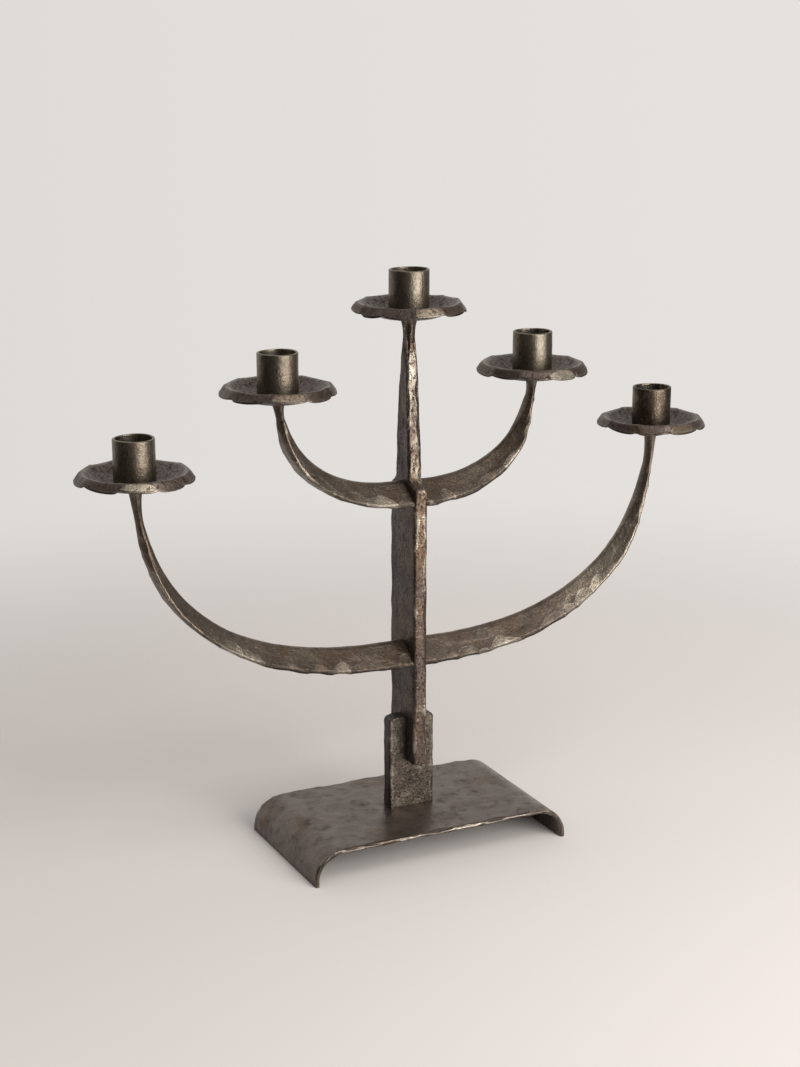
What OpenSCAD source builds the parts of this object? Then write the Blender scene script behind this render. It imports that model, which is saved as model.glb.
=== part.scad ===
// Five-light forged candle holder: a bent foot plate, a flat bar stem and two pairs of arms.
// The origin is on the table under the middle of the foot plate, with X along the arms.

/* [Lights] */
// Height of the rim of the centre candle socket above the table
centre_light_h = 380; // [355:0.5:420]
// Height of the rims of the two inner candle sockets
inner_light_h = 334.5; // [324:0.5:350]
// Height of the rims of the two outer candle sockets
outer_light_h = 290; // [262:0.5:315]
// Distance from the stem's middle to the inner candles
inner_reach = 89.8; // [82:0.2:100]
// Distance from the stem's middle to the outer candles
outer_reach = 183.5; // [170:0.5:210]

/* [Candle sockets] */
// Bore of the sockets, for a candle of 22 mm
candle_bore_d = 22.5; // [20:0.1:25]
// Wall of the sockets
socket_wall = 1.75; // [1.2:0.05:3]
// Height of the sockets
socket_h = 28.5; // [20:0.5:40]
// Floor of the sockets
socket_floor = 3; // [2.6:0.1:5]
// Rounding of the outer edge of the rim
rim_round = 0.8; // [0.3:0.1:1.1]

/* [Drip pans] */
// Overall width of a pan, from lip to lip
pan_d = 74.2; // [72:0.2:80]
// Width of the pan at its raised crest
pan_crest_d = 63; // [58:0.5:64]
// Width of the flat floor of the pan
pan_floor_d = 30; // [28:0.5:40]
// Thickness of the pan's sheet
pan_sheet = 2.2; // [1.5:0.1:3]
// Height of the crest above the floor
pan_depth = 8.4; // [6:0.1:11]
// Drop of the lip's edge below the crest
lip_drop = 3.1; // [2:0.1:4.5]
// How much further the lowest petals droop than the highest
petal_droop = 1.4; // [0:0.1:2]
// How far the hammered notches pull the lip's edge in
notch_depth = 1.5; // [0:0.1:2]
// How far the hammered notches lift the lip's edge
notch_lift = 0.9; // [0:0.1:1.5]

/* [Rivets] */
// Diameter of the rivet shanks
rivet_d = 3.5; // [3:0.1:4.5]
// Diameter of the countersunk rivet heads
rivet_head_d = 8; // [6:0.1:10]
// Depth of the countersunk rivet heads
rivet_head_h = 2; // [1.5:0.1:2.4]
// Length of the rivet below the pan
rivet_grip = 6; // [4:0.5:9]

/* [Arms] */
// Height of the underside of the lower arms at the stem
lower_arm_z = 123.2; // [110:0.2:140]
// Height of the underside of the upper arms at the stem
upper_arm_z = 230; // [215:0.5:242]
// Height of the arms' section at the stem
arm_h = 14.5; // [12:0.5:18]
// How far the lower arms run out before they turn up
lower_run = 160; // [120:1:180]
// How far the lower arms run up into their necks
lower_rise = 41; // [15:1:70]
// How far the upper arms run out before they turn up
upper_run = 72; // [50:1:90]
// How far the upper arms run up into their necks
upper_rise = 20; // [8:1:35]
// Sag of the lower arms' path under its level start
lower_sag = 6; // [0:0.5:12]
// Sag of the upper arms' path under its level start
upper_sag = 2.5; // [0:0.5:6]
// Thickness of the narrowest part of an arm's neck, seen from the front
waist_h = 4.8; // [4:0.1:8]
// Thickness of the narrowest part of an arm's neck, seen from the side
waist_w = 8.5; // [6:0.1:10]
// Width of the necks where they meet the pans
neck_d = 9.5; // [8:0.1:12]
// Width of the arms' tenons
tenon_w = 16; // [10:0.5:20]
// Height of the arms' tenons
tenon_h = 6; // [4:0.5:7]

/* [Stem] */
// Depth of the stem's bar, front to back
stem_d = 35; // [30:0.5:42]
// Thickness of the stem's bar
stem_t = 8.8; // [7:0.1:12]
// Worn chamfer on the edges of the bar
stem_edge = 0.8; // [0.3:0.1:1.5]
// Height of the shoulder's start above the underside of the upper arms
shoulder_up = 11; // [8:0.5:14]
// Height of the shoulder's curve
shoulder_rise = 7; // [4:0.5:12]
// Depth of the stem just above its shoulder
shank_d = 19; // [15:0.5:26]
// Chamfer on the edges of the forged shank
shank_edge = 2; // [1:0.1:2.6]
// Depth of the stem at its waist
stem_waist_d = 7.6; // [7:0.1:10]
// Thickness of the stem at its waist
stem_waist_t = 5.8; // [5:0.1:8]
// Length of the flared neck above the waist
stem_neck_l = 17; // [12:0.5:25]
// Width of the stem's neck where it meets the centre pan
stem_neck_d = 10.5; // [9:0.1:13]

/* [Foot] */
// Length of the foot plate
base_l = 182.5; // [150:0.5:220]
// Width of the foot plate, front to back
base_w = 104.8; // [80:0.2:130]
// Height of the foot plate's top above the table
base_h = 22.7; // [21:0.1:32]
// Thickness of the foot plate
plate_t = 3.5; // [2.5:0.1:5]
// Outer radius of the bends at both ends
bend_r = 19.5; // [12:0.5:20.5]
// Width of the foot bracket
bracket_w = 32.4; // [26:0.2:44]
// Thickness of the foot bracket
bracket_t = 10.2; // [8:0.1:14]
// Height of the foot bracket above the plate
bracket_h = 62.9; // [50:0.1:80]
// Rounding of the bracket's top corners
bracket_round = 3.5; // [1:0.1:5]
// Depth of the slot that takes the stem
slot_depth = 15; // [8:0.5:22]
// How far the stem reaches below the bracket's top
stem_drop = 30; // [24:0.5:45]
// Width of the bracket's tenon in the plate
foot_tenon_w = 20; // [12:0.5:24]
// Thickness of the bracket's tenon in the plate
foot_tenon_t = 6; // [4:0.5:7.5]

/* [Fits] */
// Clearance on each side of the notched and tenoned joints
joint_gap = 0.1; // [0.05:0.05:0.25]

/* [Hidden] */
$fn = 64;

// Overrun of the cuts
over = 1;

// Levels and sizes that follow from the driving ones
socket_d = candle_bore_d + 2 * socket_wall;
seat_drop = socket_h + pan_sheet;
bracket_top = base_h + bracket_h;
stem_bottom = bracket_top - stem_drop;
slot_floor = bracket_top - slot_depth;
shoulder_z = upper_arm_z + shoulder_up;
shank_z = shoulder_z + shoulder_rise;
stem_top = centre_light_h - seat_drop;
stem_waist_z = stem_top - stem_neck_l;
arm_d = stem_d - 2 * stem_edge;
arm_side = stem_t / 2;
rivet_bore_d = rivet_d + 2 * joint_gap;
neck_chamfer = stem_neck_d * (1 - 1 / sqrt(2));

// Share of an arm's height that lies under its tenon
under_tenon_share = 0.125;
tenon_mid = tenon_h / 2 + under_tenon_share * arm_h;

// Petals around each pan's lip, and where they start, in degrees
outer_left_petals = [10, 18];
inner_left_petals = [9, 4];
centre_petals = [11, 10];
inner_right_petals = [10, 27];
outer_right_petals = [9, 20];

// Points of a petal's edge: where each lies across the petal, and its share of the notch
petal_shares = [[0, 1], [0.09, 0.2], [0.33, 0], [0.67, 0], [0.91, 0.2]];

// Handwork that differs from petal to petal, taken in turn
petal_turns = [0.3, 1, 0.5, 0, 0.8, 0.4, 0.9];
notch_vary_share = 0.4;

// Rings along an arm
arm_steps = 34;

// Where along an arm the neck's waist is, and where the ridge starts to turn round
waist_share = 0.84;
round_start_share = 0.5;
taper_power = 1.3;

// Half of the ridged section, from the outer face over the edge to the ridge:
// shares of half its depth and of its height
ridge_shares = [[0.94, 0], [1, 0.07], [0.985, 0.2], [0.6, 0.52], [0.14, 0.96], [0.05, 1]];

// Steps of the stem's curves, and of its shank from shoulder to waist
curve_shares = [0:0.2:1];
shank_shares = [0.3, 0.6, 0.85];

// Steps from a pan's floor to its crest and from the crest to the lip's edge,
// how steeply the dish rises, and how evenly the lip bends down
dish_shares = [0, 0.45, 0.8, 1];
lip_shares = [0.4, 0.75, 1];
dish_power = 1.6;
lip_bend_share = 0.8;

// How evenly the stem narrows over its shoulder, and how full the shank stays up to its waist
shoulder_power = 1.5;
shank_power = 1.6;

// Colours
iron = "#5c5651";
dark_iron = "#4a4540";
steel = "#6a645c";

// A point and a direction on a cubic curve through four control points
function curve_point(p, t) =
    pow(1 - t, 3) * p[0] + 3 * pow(1 - t, 2) * t * p[1] + 3 * (1 - t) * t * t * p[2] + pow(t, 3) * p[3];
function curve_dir(p, t) =
    pow(1 - t, 2) * (p[1] - p[0]) + 2 * (1 - t) * t * (p[2] - p[1]) + t * t * (p[3] - p[2]);

function blend(a, b, share) = a + (b - a) * share;
function smooth(share) = let (s = max(0, min(1, share))) s * s * (3 - 2 * s);

// Size of an arm's section along its path: it tapers to the waist, then flares into the neck
function arm_size(root, waist, t) =
    t < waist_share
    ? blend(root, waist, pow(t / waist_share, taper_power))
    : blend(waist, neck_d, pow((t - waist_share) / (1 - waist_share), 2));

// The section's points as [depth, height], from the ridged bar to the round neck
function arm_section(t) =
    let (
        h = arm_size(arm_h, waist_h, t),
        w = arm_size(arm_d, waist_w, t),
        rounding = smooth((t - round_start_share) / (waist_share - round_start_share)),
        count = len(ridge_shares),
        half = [for (i = [0:count - 1])
            let (
                s = ridge_shares[i],
                a = (i + 0.5) * 180 / count
            )
            [blend(s[0], sin(a), rounding) * w / 2,
                blend(s[1] - 1 / 2, -cos(a) / 2, rounding) * h]]
    )
    concat(half, [for (i = [count - 1:-1:0]) [-half[i][0], half[i][1]]]);

// The middle line of an arm, in the plane of the arms
function arm_path(base_z, end_z, reach, run, sag, rise) = [
    [arm_side, base_z + arm_h / 2],
    [arm_side + run, base_z + arm_h / 2 - sag],
    [reach, end_z - rise],
    [reach, end_z]];

module arm_bar(path) {
    rings = [for (i = [0:arm_steps])
        let (
            t = i / arm_steps,
            centre = curve_point(path, t),
            dir = i == 0 ? [1, 0] : i == arm_steps ? [0, 1] : curve_dir(path, t),
            along = dir / norm(dir)
        )
        [for (q = arm_section(t))
            [centre[0] - along[1] * q[1], q[0], centre[1] + along[0] * q[1]]]];
    count = len(rings[0]);
    points = [for (ring = rings) each ring];
    sides = [for (i = [0:arm_steps - 1], j = [0:count - 1])
        let (a = i * count + j, b = i * count + (j + 1) % count)
        each [[a, a + count, b], [b, a + count, b + count]]];
    root = [for (j = [0:count - 1]) j];
    tip = [for (j = [count - 1:-1:0]) arm_steps * count + j];
    polyhedron(points, concat([root], [tip], sides), convexity = 6);
}

// Block that fills a joint, grown on its sides by the clearances given
module joint_block(size, gaps) {
    cube(size + 2 * gaps, center = true);
}

// Arm on the right side, from its tenon to the neck under its pan
module arm(base_z, end_z, reach, run, sag, rise) {
    color(iron)
    difference() {
        union() {
            arm_bar(arm_path(base_z, end_z, reach, run, sag, rise));
            translate([arm_side / 2 + joint_gap / 2 + over / 2, 0, base_z + tenon_mid])
                joint_block([arm_side - joint_gap + over, tenon_w, tenon_h], [0, 0, 0]);
        }
        translate([reach, 0, end_z])
            rivet_bore();
    }
}

// Blind bore for a rivet, below the level at which it is placed
module rivet_bore() {
    translate([0, 0, -rivet_grip - joint_gap])
        cylinder(d = rivet_bore_d, h = rivet_grip + joint_gap + over);
}

// Outline of the foot plate seen from the front
module arch_outline(l, h, r) {
    translate([-l / 2, 0])
        square([l, h - r]);
    intersection() {
        translate([-l / 2, 0])
            square([l, h]);
        union() {
            translate([r - l / 2, 0])
                square([l - 2 * r, h]);
            for (side = [-1, 1])
                translate([side * (l / 2 - r), h - r])
                    circle(r);
        }
    }
}

// The bracket's tenon through the foot plate, or with clearances the mortise for it
module foot_tenon(gaps) {
    translate([0, 0, base_h - plate_t / 2])
        joint_block([foot_tenon_w, foot_tenon_t, plate_t], gaps);
}

module base_plate() {
    color(iron)
    difference() {
        rotate([90, 0, 0])
            linear_extrude(base_w, center = true)
            difference() {
                arch_outline(base_l, base_h, bend_r);
                translate([0, -over])
                    arch_outline(base_l - 2 * plate_t, base_h - plate_t + over, bend_r - plate_t);
            }
        foot_tenon([joint_gap, joint_gap, over]);
    }
}

module foot_bracket() {
    color(steel) {
        difference() {
            rotate([90, 0, 0])
                linear_extrude(bracket_t, center = true)
                translate([0, base_h])
                bracket_outline();
            translate([0, 0, slot_floor + (slot_depth + over) / 2])
                cube([stem_t + 2 * joint_gap, bracket_t + 2 * over, slot_depth + over], center = true);
        }
        foot_tenon([0, 0, 0]);
    }
}

// Front outline of the bracket, with its two top corners rounded
module bracket_outline() {
    translate([-bracket_w / 2, 0])
        square([bracket_w, bracket_h - bracket_round]);
    translate([bracket_round - bracket_w / 2, 0])
        square([bracket_w - 2 * bracket_round, bracket_h]);
    for (side = [-1, 1])
        translate([side * (bracket_w / 2 - bracket_round), bracket_h - bracket_round])
            circle(bracket_round);
}

// The stem's sizes from the bottom up: [height, depth, thickness, chamfer]
function stem_sizes() = concat(
    [[stem_bottom, stem_d, stem_t, stem_edge]],
    [for (s = curve_shares)
        [shoulder_z + s * shoulder_rise, blend(shank_d, stem_d, pow(1 - s, shoulder_power)), stem_t,
            blend(stem_edge, shank_edge, s)]],
    [for (s = shank_shares)
        let (drawn = pow(s, shank_power))
        [blend(shank_z, stem_waist_z, s), blend(shank_d, stem_waist_d, drawn),
            blend(stem_t, stem_waist_t, drawn), shank_edge]],
    [for (s = curve_shares)
        [stem_waist_z + s * stem_neck_l, blend(stem_waist_d, stem_neck_d, s * s),
            blend(stem_waist_t, stem_neck_d, s * s), blend(shank_edge, neck_chamfer, s)]]);

// Upright slab whose faces follow half-widths given as [half width, height]
module stem_slab(turn, halves) {
    count = len(halves);
    rotate([90, 0, turn])
        linear_extrude(2 * stem_d, center = true)
        polygon(concat(halves, [for (i = [count - 1:-1:0]) [-halves[i][0], halves[i][1]]]));
}

module stem_bar() {
    sizes = stem_sizes();
    intersection() {
        stem_slab(90, [for (s = sizes) [s[1] / 2, s[0]]]);
        stem_slab(0, [for (s = sizes) [s[2] / 2, s[0]]]);
        stem_slab(45, [for (s = sizes) [((s[1] + s[2]) / 2 - s[3]) * cos(45), s[0]]]);
        stem_slab(-45, [for (s = sizes) [((s[1] + s[2]) / 2 - s[3]) * cos(45), s[0]]]);
    }
}

module stem() {
    notch_h = slot_floor - stem_bottom;
    color(dark_iron)
    difference() {
        stem_bar();
        translate([0, 0, stem_bottom + (notch_h - over) / 2])
            cube([stem_t + 2 * over, bracket_t + 2 * joint_gap, notch_h + over], center = true);
        for (z = [lower_arm_z, upper_arm_z])
            translate([0, 0, z + tenon_mid])
                joint_block([stem_t, tenon_w, tenon_h], [over, joint_gap, joint_gap]);
        translate([0, 0, stem_top])
            rivet_bore();
    }
}

module lower_arm_right() {
    arm(lower_arm_z, outer_light_h - seat_drop, outer_reach, lower_run, lower_sag, lower_rise);
}

module upper_arm_right() {
    arm(upper_arm_z, inner_light_h - seat_drop, inner_reach, upper_run, upper_sag, upper_rise);
}

module lower_arm_left() { mirror([1, 0, 0]) lower_arm_right(); }
module upper_arm_left() { mirror([1, 0, 0]) upper_arm_right(); }

// The pan's upper profile from floor to lip: [radius, height above the floor, share of the notches]
function pan_profile() = concat(
    [for (s = dish_shares)
        [blend(pan_floor_d, pan_crest_d, s) / 2, pan_depth * pow(s, dish_power), 0]],
    [for (s = lip_shares)
        [blend(pan_crest_d, pan_d, s) / 2, pan_depth - lip_drop * blend(s, s * s, lip_bend_share), s]]);

// The share of the handwork that a petal takes
function petal_turn(petal, petals) = petal_turns[(petal + petals[1]) % len(petal_turns)];

// One ring of the pan, pulled in and up at the notches, with petals that droop between them
function pan_ring(r, z, share, petals) =
    [for (petal = [0:petals[0] - 1], point = petal_shares)
        let (
            a = (petal + point[0]) * 360 / petals[0] - petals[1],
            notch = share * point[1] * (1 - notch_vary_share * petal_turn(petal + 1, petals)),
            droop = share * (1 - point[1]) * petal_droop * petal_turn(petal, petals),
            edge_r = r - notch * notch_depth
        )
        [edge_r * cos(a), edge_r * sin(a), z + notch * notch_lift - droop]];

// Dished sheet with a turned-down lip, its floor's top at zero
module pan_sheet_body(petals) {
    top = pan_profile();
    n = len(top);
    under = [for (i = [n - 1:-1:0])
        let (
            run = i == 0 ? [1, 0] : i == n - 1 ? top[n - 1] - top[n - 2] : top[i + 1] - top[i - 1],
            side = [run[0], run[1]] / norm([run[0], run[1]])
        )
        [top[i][0] + side[1] * pan_sheet, top[i][1] - side[0] * pan_sheet, top[i][2]]];
    rows = concat(top, under);
    steps = petals[0] * len(petal_shares);
    points = concat(
        [for (row = rows) each pan_ring(row[0], row[1], row[2], petals)],
        [[0, 0, 0], [0, 0, -pan_sheet]]);
    last = len(rows) - 1;
    sides = [for (k = [0:last - 1], i = [0:steps - 1])
        let (a = k * steps + i, b = k * steps + (i + 1) % steps)
        each [[a, a + steps, b], [b, a + steps, b + steps]]];
    floors = [for (i = [0:steps - 1])
        let (j = (i + 1) % steps, a = last * steps)
        each [[i, j, len(rows) * steps], [a + j, a + i, len(rows) * steps + 1]]];
    polyhedron(points, concat(sides, floors), convexity = 6);
}

module pan(x, light_h, petals) {
    color(iron)
    translate([x, 0, light_h - socket_h])
        difference() {
            pan_sheet_body(petals);
            translate([0, 0, -pan_sheet - over])
                cylinder(d = rivet_bore_d, h = pan_sheet + 2 * over);
        }
}

module pan_outer_left() { pan(-outer_reach, outer_light_h, outer_left_petals); }
module pan_inner_left() { pan(-inner_reach, inner_light_h, inner_left_petals); }
module pan_centre() { pan(0, centre_light_h, centre_petals); }
module pan_inner_right() { pan(inner_reach, inner_light_h, inner_right_petals); }
module pan_outer_right() { pan(outer_reach, outer_light_h, outer_right_petals); }

// Straight cup, countersunk through its floor for a rivet
module socket(x, light_h) {
    outer = socket_d / 2;
    bore = candle_bore_d / 2;
    color(steel)
    translate([x, 0, light_h - socket_h])
        rotate_extrude()
        polygon(concat(
            [[rivet_bore_d / 2, 0], [outer, 0], [outer, socket_h - rim_round]],
            [for (a = [15:15:90])
                [outer - rim_round * (1 - cos(a)), socket_h - rim_round * (1 - sin(a))]],
            [[bore, socket_h], [bore, socket_floor],
                [rivet_head_d / 2 + joint_gap, socket_floor],
                [rivet_bore_d / 2, socket_floor - rivet_head_h]]));
}

module socket_outer_left() { socket(-outer_reach, outer_light_h); }
module socket_inner_left() { socket(-inner_reach, inner_light_h); }
module socket_centre() { socket(0, centre_light_h); }
module socket_inner_right() { socket(inner_reach, inner_light_h); }
module socket_outer_right() { socket(outer_reach, outer_light_h); }

// Countersunk rivet that holds a socket and its pan on a neck
module rivet(x, light_h) {
    color(dark_iron)
    translate([x, 0, light_h - socket_h])
        rotate_extrude()
        polygon([
            [0, socket_floor], [rivet_head_d / 2, socket_floor],
            [rivet_d / 2, socket_floor - rivet_head_h],
            [rivet_d / 2, -pan_sheet - rivet_grip], [0, -pan_sheet - rivet_grip]]);
}

module rivet_outer_left() { rivet(-outer_reach, outer_light_h); }
module rivet_inner_left() { rivet(-inner_reach, inner_light_h); }
module rivet_centre() { rivet(0, centre_light_h); }
module rivet_inner_right() { rivet(inner_reach, inner_light_h); }
module rivet_outer_right() { rivet(outer_reach, outer_light_h); }

base_plate();
foot_bracket();
stem();
lower_arm_left();
lower_arm_right();
upper_arm_left();
upper_arm_right();
pan_outer_left();
pan_inner_left();
pan_centre();
pan_inner_right();
pan_outer_right();
socket_outer_left();
socket_inner_left();
socket_centre();
socket_inner_right();
socket_outer_right();
rivet_outer_left();
rivet_inner_left();
rivet_centre();
rivet_inner_right();
rivet_outer_right();
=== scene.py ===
"""Looks of a forged candle holder with five lights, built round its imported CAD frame.

Every piece but the rivets, which stay the CAD's own, is a grid of points worked out with numpy.
Hammer blows are cut into the CAD's plain forms, and the same blows tell the iron's finish where
it is burnished and where it is dark.
"""

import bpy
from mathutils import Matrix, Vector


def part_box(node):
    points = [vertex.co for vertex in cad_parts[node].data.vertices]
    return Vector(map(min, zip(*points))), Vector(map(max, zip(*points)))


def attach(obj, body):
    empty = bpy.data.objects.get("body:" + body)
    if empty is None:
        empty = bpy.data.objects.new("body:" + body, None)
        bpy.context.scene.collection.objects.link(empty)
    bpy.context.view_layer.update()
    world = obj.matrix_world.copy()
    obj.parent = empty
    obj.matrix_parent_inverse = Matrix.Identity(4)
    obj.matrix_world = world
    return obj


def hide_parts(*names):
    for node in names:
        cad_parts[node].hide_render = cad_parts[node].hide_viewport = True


bl_info = {
    "name": "Forged candle holder",
    "version": (1, 0, 0),
    "blender": (4, 5, 0),
    "location": "3D View > Sidebar > Candle holder",
    "description": "Builds the hammered iron, its finishes and the studio of a candle holder",
    "category": "Object",
}

import bpy
import numpy as np
from bpy.props import FloatProperty, FloatVectorProperty, PointerProperty
from mathutils import Vector

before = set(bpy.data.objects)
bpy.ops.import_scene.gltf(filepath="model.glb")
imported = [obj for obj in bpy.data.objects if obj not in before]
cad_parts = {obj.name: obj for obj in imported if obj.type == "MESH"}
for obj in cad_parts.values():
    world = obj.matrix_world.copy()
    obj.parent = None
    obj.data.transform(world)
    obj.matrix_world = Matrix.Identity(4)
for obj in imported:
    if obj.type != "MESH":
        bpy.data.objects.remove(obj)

MM = 0.001
METALLIC = 0.97
LAMP_TINT = (1.0, 0.97, 0.93)

# Each pan's number of petals and where they start, in degrees, both as in the part's source, and
# how bright the petal at its right front is in the photograph, from 0 to 1, which the pan's iron
# paints on that petal as a burnish with a painted highlight
PETALS = {
    "outer_left": (10, 18.0, 1.0),
    "inner_left": (9, 4.0, 0.65),
    "centre": (11, 10.0, 0.8),
    "inner_right": (10, 27.0, 0.95),
    "outer_right": (9, 20.0, 0.7),
}

# Where that petal is round its pan's axis, in degrees
RIGHT_FRONT = 264.0

# The choice of each socket's swell, and how far the socket is tarnished brown
SOCKETS = {
    "outer_left": (500, 0.0),
    "inner_left": (513, 0.0),
    "centre": (526, 0.0),
    "inner_right": (539, 0.1),
    "outer_right": (552, 1.0),
}

# The choice of each arm's blows, how much paler it is painted, a painted highlight, and from
# which share of its length on, and how far its neck counts as facing front, where the arms' iron
# is painted with a shade
ARMS = {
    "lower_arm_left": (101, 0.05, 0.0, 0.82),
    "lower_arm_right": (138, 0.4, 0.18, 0.0),
    "upper_arm_left": (211, 0.22, 0.0, 0.82),
    "upper_arm_right": (248, 0.0, 0.0, 0.82),
}

# Half of an arm's ridged section, as shares of half its depth and of its height. The section is
# numbered up one side and down the other, and its hammered edges are the lowest corner but one
# on each side.
RIDGE = ((0.94, 0.0), (1.0, 0.07), (0.985, 0.2), (0.6, 0.52), (0.14, 0.96), (0.05, 1.0))


def length(name, description, millimetres):
    """A length setting, given in millimetres and kept in metres."""
    return FloatProperty(
        name=name,
        description=description,
        default=millimetres * MM,
        min=0.0,
        precision=5,
        subtype="DISTANCE",
        unit="LENGTH",
    )


def share(name, description, value):
    """A setting from 0 to 1."""
    return FloatProperty(
        name=name, description=description, default=value, min=0.0, max=1.0, subtype="FACTOR"
    )


def colour(name, description, value):
    """A linear colour setting."""
    return FloatVectorProperty(
        name=name, description=description, default=value, min=0.0, max=1.0, size=3, subtype="COLOR"
    )


class HolderSizes(bpy.types.PropertyGroup):
    """Sizes of the forms. They repeat the part's source, apart from the grid step, the chamfers
    of the stem, and the depth and drop of the pans, which are deeper here than in their solids."""

    step: length("Grid step", "Distance between the points of a surface", 0.8)
    plate_thickness: length("Plate thickness", "Thickness of the foot plate", 3.5)
    bend_radius: length("Bend radius", "Outer radius of the foot plate's bends", 19.5)
    bracket_round: length("Bracket rounding", "Radius of the bracket's top corners", 3.5)
    stem_thickness: length("Stem thickness", "Thickness of the stem's bar", 8.8)
    stem_edge: length("Stem edge", "Worn chamfer on the stem's bar", 0.4)
    shoulder_z: length("Shoulder height", "Where the stem's bar starts to narrow", 241.0)
    shoulder_rise: length("Shoulder rise", "Height of the shoulder's curve", 7.0)
    shank_depth: length("Shank depth", "Depth of the stem above its shoulder", 19.0)
    shank_edge: length("Shank edge", "Chamfer on the forged shank", 0.6)
    waist_depth: length("Stem waist depth", "Depth of the stem's waist", 7.6)
    waist_thickness: length("Stem waist thickness", "Thickness of the stem's waist", 5.8)
    stem_neck_length: length("Stem neck length", "Length of the flared neck", 17.0)
    stem_neck: length("Stem neck width", "Width of the neck under the centre pan", 10.5)
    lower_arm_z: length("Lower arms", "Height of the lower arms' underside at the stem", 123.2)
    upper_arm_z: length("Upper arms", "Height of the upper arms' underside at the stem", 230.0)
    arm_height: length("Arm height", "Height of the arms' section at the stem", 14.5)
    lower_run: length("Lower run", "How far the lower arms run out before they turn up", 160.0)
    lower_rise: length("Lower rise", "How far the lower arms run up into their necks", 41.0)
    lower_sag: length("Lower sag", "Sag of the lower arms", 6.0)
    upper_run: length("Upper run", "How far the upper arms run out before they turn up", 72.0)
    upper_rise: length("Upper rise", "How far the upper arms run up into their necks", 20.0)
    upper_sag: length("Upper sag", "Sag of the upper arms", 2.5)
    neck_height: length("Arm waist", "Thickness of an arm's waist from the front", 4.8)
    neck_depth: length("Arm waist depth", "Thickness of an arm's waist from the side", 8.5)
    neck_width: length("Arm neck", "Width of an arm's neck under its pan", 9.5)
    pan_crest: length("Pan crest", "Radius of a pan's raised crest", 31.5)
    pan_floor: length("Pan floor", "Radius of a pan's flat floor", 15.0)
    pan_radius: length("Pan radius", "Radius of a pan's lip", 37.1)
    pan_depth: length("Pan depth", "Height of a pan's crest above its floor, before its roll", 9.0)
    pan_sheet: length("Pan sheet", "Thickness of a pan's sheet", 2.2)
    lip_drop: length("Lip drop", "Drop of a pan's lip below its crest", 6.4)
    bore: length("Candle bore", "Radius of the bore for a candle", 11.25)
    socket_floor: length("Socket floor", "Thickness of a socket's floor", 3.0)


class HammerWork(bpy.types.PropertyGroup):
    """How deep and how far apart the hammer blows are."""

    pitch: length("Blow spacing", "Distance between the blows on the bars", 10.0)
    face: length("Face depth", "Depth of the blows on the bars' faces", 0.22)
    edge: length("Edge depth", "Depth of the blows on the bars' edges", 0.75)
    sway: length("Sway", "Slow unevenness of the bars", 0.35)
    petal: length("Petal depth", "Depth of the blows that make the pans' petals", 0.9)
    notch_in: length("Notch depth", "How far the notches pull a pan's lip in", 1.3)
    notch_up: length("Notch lift", "How far the notches lift a pan's lip", 1.2)


class IronColours(bpy.types.PropertyGroup):
    """Colours of the iron."""

    grey: colour("Grey iron", "Waxed iron in the blows", (0.136, 0.114, 0.101))
    patina: colour("Bracket iron", "Darker iron of the bracket", (0.055, 0.045, 0.039))
    pans: colour("Pan iron", "Purple-grey iron of the drip pans", (0.110, 0.090, 0.084))
    brown: colour("Brown iron", "Warm brown patches", (0.108, 0.072, 0.048))
    # Also the colour of the painted shade on the arms
    dark: colour("Dark iron", "Scale left in pits and corners", (0.020, 0.017, 0.016))
    # Also the colour of the painted highlights
    bright: colour("Burnished iron", "Worn edges and ridges", (0.355, 0.318, 0.258))
    bronze: colour("Socket steel", "Warm sheen of the sockets", (0.155, 0.136, 0.107))
    arms: colour("Arm iron", "Paler worn iron of the arms", (0.158, 0.128, 0.104))
    cool: colour("Cool iron", "Purple-grey of the stem's sides", (0.086, 0.070, 0.068))
    roughness: share("Roughness", "Roughness of the waxed iron", 0.42)


class StudioLook(bpy.types.PropertyGroup):
    """The floor, the light and the camera."""

    floor: colour("Floor", "Colour of the floor", (0.77, 0.735, 0.72))
    wall: colour("Background", "Colour behind the holder", (0.79, 0.76, 0.735))
    key_power: FloatProperty(
        name="Key light", description="Power of the large front light", default=40.0, unit="POWER"
    )
    lens: FloatProperty(
        name="Lens", description="Focal length", default=66.70, subtype="DISTANCE_CAMERA"
    )
    camera: FloatVectorProperty(
        name="Camera", description="Place of the camera", default=(-0.5514, -1.1029, 0.5421),
        subtype="XYZ_LENGTH", unit="LENGTH",
    )
    target: FloatVectorProperty(
        name="Target", description="Point the camera looks at", default=(-0.00626, 0.0, 0.20955),
        subtype="XYZ_LENGTH", unit="LENGTH",
    )


class HolderSettings(bpy.types.PropertyGroup):
    """All settings of the candle holder."""

    sizes: PointerProperty(type=HolderSizes)
    hammer: PointerProperty(type=HammerWork)
    colours: PointerProperty(type=IronColours)
    studio: PointerProperty(type=StudioLook)


def chance(i, j, seed):
    """A number from 0 to 1 for each pair of whole numbers: both and the seed times large primes,
    added and mixed twice within 32 bits, of which the lower half counts."""
    word, half = 0xFFFFFFFF, 0xFFFF
    i, j = i.astype(np.int64), j.astype(np.int64)
    mixed = (i * 374761393 + j * 668265263 + seed * 97463477) & word
    mixed = ((mixed ^ (mixed >> 13)) * 1274126177) & word
    return ((mixed ^ (mixed >> 16)) & half) / half


def smooth(x, low=0.0, high=1.0):
    """Smoothstep from 0 at low to 1 at high: s squared times (3 - 2 s)."""
    s = np.clip((x - low) / (high - low), 0.0, 1.0)
    return s * s * (3.0 - 2.0 * s)


def between(start, end, part):
    """The value at a part of the way from start to end."""
    return start + (end - start) * part


def full_turn(count):
    """Evenly spaced angles round a full turn."""
    return np.arange(count) / count * 2 * np.pi


def lengths_along(points):
    """The distance of each of a line's points from its first, along the line."""
    return np.concatenate([[0.0], np.cumsum(np.linalg.norm(np.diff(points, axis=0), axis=1))])


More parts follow.
